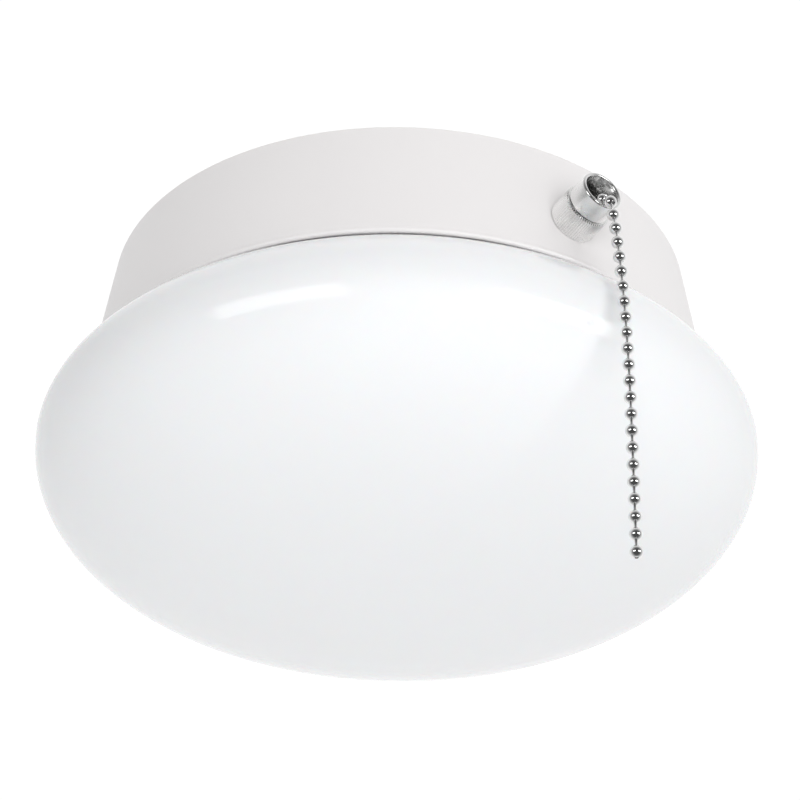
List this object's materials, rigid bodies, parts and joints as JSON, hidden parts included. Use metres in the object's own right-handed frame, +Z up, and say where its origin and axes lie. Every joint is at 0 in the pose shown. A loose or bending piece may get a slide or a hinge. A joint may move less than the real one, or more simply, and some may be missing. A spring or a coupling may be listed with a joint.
{
  "type": "pull-chain LED ceiling light",
  "caption": "Round white flush-mount ceiling light with an opal diffuser, and a ball-chain pull switch with a knurled nut on the side of its pan.",
  "frame": {"origin": "centre of the face that rests on the ceiling", "axes": "+Z up into the ceiling along the light's round axis, +X along the mounting bar, -Y towards the viewer; the switch is 32.2 degrees from -Y towards +X"},
  "size_m": [0.178, 0.178, 0.1224],
  "materials": {
    "pan_paint": "satin",
    "foam": "matte",
    "zinc_plate": "satin",
    "green_screw": "satin",
    "black_plastic": "matte",
    "clear_plastic": "gloss",
    "tin_plate": "satin",
    "aluminium": "satin",
    "fibre_sheet": "matte",
    "board_white": "gloss",
    "led_yellow": "satin",
    "board_green": "satin",
    "capacitor_sleeve": "gloss",
    "ferrite": "matte",
    "chip_black": "matte",
    "film_red": "gloss",
    "resistor_blue": "gloss",
    "opal": "gloss",
    "nickel": "polished",
    "phenolic": "satin",
    "brass": "satin",
    "spring_steel": "satin",
    "white_plastic": "satin",
    "copper": "satin",
    "wire_black": "satin",
    "wire_white": "satin",
    "wire_green": "satin",
    "wire_red": "satin"
  },
  "bodies": {
    "fixture": {"base_pan": "pan_paint", "board_screws": "zinc_plate", "bridge_rectifier": "chip_black", "carrier_plate": "aluminium", "carrier_posts": "aluminium", "case_rivets": "brass", "ceiling_gasket": "foam", "control_chip": "chip_black", "driver_board": "board_green", "driver_cover": "black_plastic", "driver_screws": "zinc_plate", "driver_tray": "black_plastic", "film_capacitor": "film_red", "fuse_resistor": "resistor_blue", "ground_ring_terminal": "tin_plate", "ground_screw": "green_screw", "inductor": "ferrite", "inner_hex_nut": "nickel", "insulating_sheet": "fibre_sheet", "knurled_nut": "nickel", "lead_ground": "wire_green", "lead_live_in": "wire_black", "lead_live_out": "wire_black", "lead_neutral": "wire_white", "led_board": "board_white", "led_lead_minus": "wire_black", "led_lead_plus": "wire_red", "led_packages": "led_yellow", "lens_clip_1": "pan_paint", "lens_clip_2": "pan_paint", "lens_clip_3": "pan_paint", "lever_pin": "nickel", "line_contact": "brass", "load_contact": "brass", "lock_washer": "zinc_plate", "mounting_crossbar": "zinc_plate", "pan_screws": "zinc_plate", "return_spring": "spring_steel", "rotor_pin": "nickel", "smoothing_capacitor": "capacitor_sleeve", "supply_terminal": "clear_plastic", "switch_bushing": "nickel", "switch_case": "phenolic", "switch_cover": "phenolic", "wire_grommet": "black_plastic"},
    "lens": {"diffuser_lens": "opal"},
    "inner_chain": {"chain_inner": "nickel"},
    "bend_bead": {"chain_bend_bead": "nickel"},
    "lip_bead": {"chain_lip_bead": "nickel"},
    "top_bead": {"chain_top_bead": "nickel"},
    "hanging_chain": {"chain_run": "nickel"},
    "lever": {"pull_lever": "zinc_plate"},
    "rotor": {"ratchet_rotor": "white_plastic", "contact_bridge": "copper"}
  },
  "joints": [
    {"name": "lens_turn", "type": "hinge", "parent": "fixture", "child": "lens", "pos_m": [0, 0, -0.0303], "axis": [0, 0, 1], "range_deg": [0, 22]},
    {"name": "chain_pull", "type": "slide", "parent": "fixture", "child": "lip_bead", "axis": [0.1108, -0.1759, -0.9781], "range_m": [0, 0.00435], "stiffness_N_per_m": 150},
    {"name": "chain_swing_side", "type": "hinge", "parent": "lip_bead", "child": "top_bead", "pos_m": [0.04843, -0.07691, -0.02522], "axis": [0.5329, -0.8462, 0], "range_deg": [-25, 25]},
    {"name": "chain_swing_out", "type": "hinge", "parent": "top_bead", "child": "hanging_chain", "pos_m": [0.04891, -0.07767, -0.02948], "axis": [-0.8462, -0.5329, 0], "range_deg": [-3, 30]},
    {"name": "inner_chain_slide", "type": "slide", "parent": "fixture", "child": "inner_chain", "axis": [0.5329, -0.8462, 0], "range_m": [0, 0.00435]},
    {"name": "bend_bead_turn", "type": "hinge", "parent": "fixture", "child": "bend_bead", "pos_m": [0.04676, -0.07426, -0.02589], "axis": [0.8462, 0.5329, 0], "range_deg": [0, 78.01]},
    {"name": "lever_turn", "type": "hinge", "parent": "fixture", "child": "lever", "pos_m": [0.03517, -0.05586, -0.01469], "axis": [-0.8462, -0.5329, 0], "range_deg": [0, 30.43]},
    {"name": "rotor_turn", "type": "hinge", "parent": "fixture", "child": "rotor", "pos_m": [0.0308, -0.04892, -0.01719], "axis": [-0.8462, -0.5329, 0], "range_deg": [0, 45.01]}
  ],
  "couplings": [
    {"joint": "inner_chain_slide", "follows": "chain_pull", "ratio": 1},
    {"joint": "bend_bead_turn", "follows": "chain_pull", "rad_per_m": 312.96},
    {"joint": "lever_turn", "follows": "chain_pull", "rad_per_m": 122.05},
    {"joint": "rotor_turn", "follows": "chain_pull", "rad_per_m": 180.55}
  ]
}
